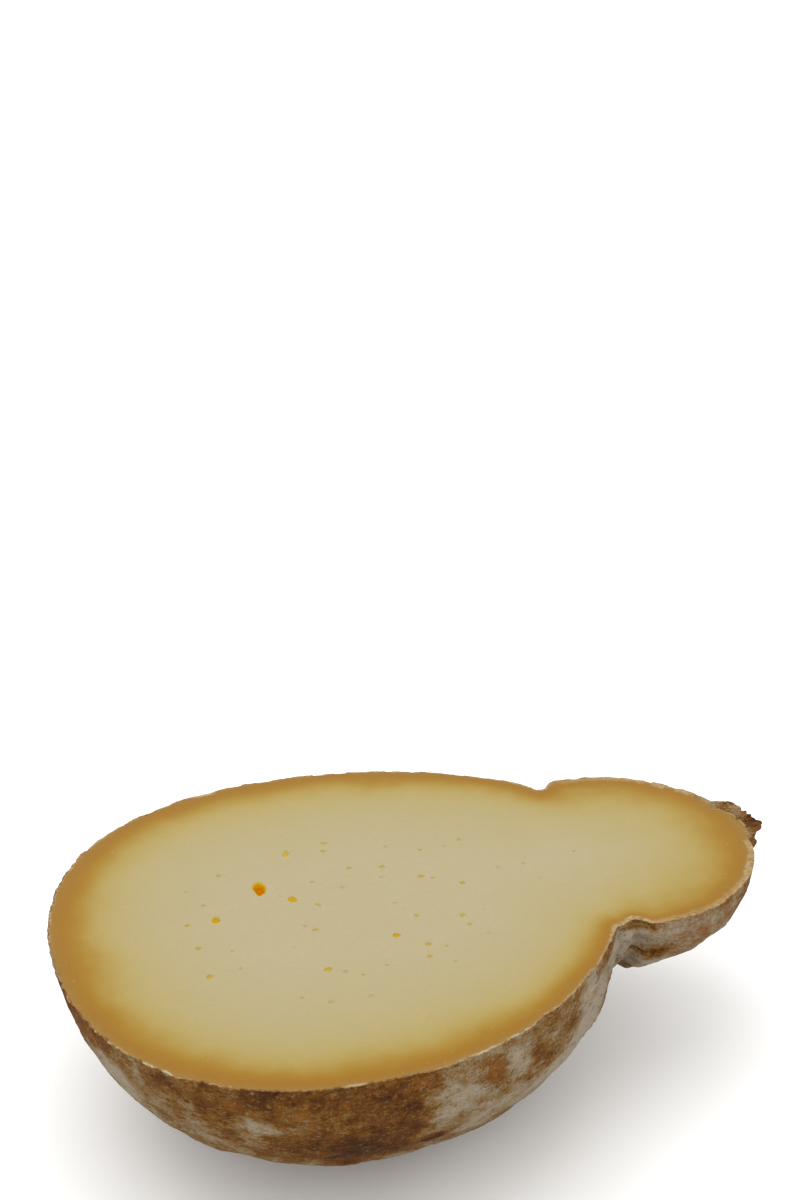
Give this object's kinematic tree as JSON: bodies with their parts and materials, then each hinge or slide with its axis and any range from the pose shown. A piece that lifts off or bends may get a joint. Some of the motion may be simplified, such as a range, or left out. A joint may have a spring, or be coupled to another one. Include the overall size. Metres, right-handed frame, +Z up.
{
  "type": "half caciocavallo cheese",
  "caption": "Half of a cave-aged caciocavallo, a gourd-shaped cheese cut lengthwise and lying on its mottled rind, with an amber-edged pale cut face, scattered eyes and a knot at the head.",
  "frame": {"origin": "under the middle of the bounding box, on the surface that the cheese lies on", "axes": "+X along the gourd from its bottom end to the knot, +Y across the cut face, +Z up, with the cut face on top"},
  "size_m": [0.2466, 0.1694, 0.0705],
  "materials": {
    "paste": "satin cheese paste, pale straw in the middle and amber towards the rind",
    "rind": "dry, mottled brown and grey rind with white mould"
  },
  "bodies": {
    "root": {"caciocavallo_half": "paste"}
  },
  "joints": []
}
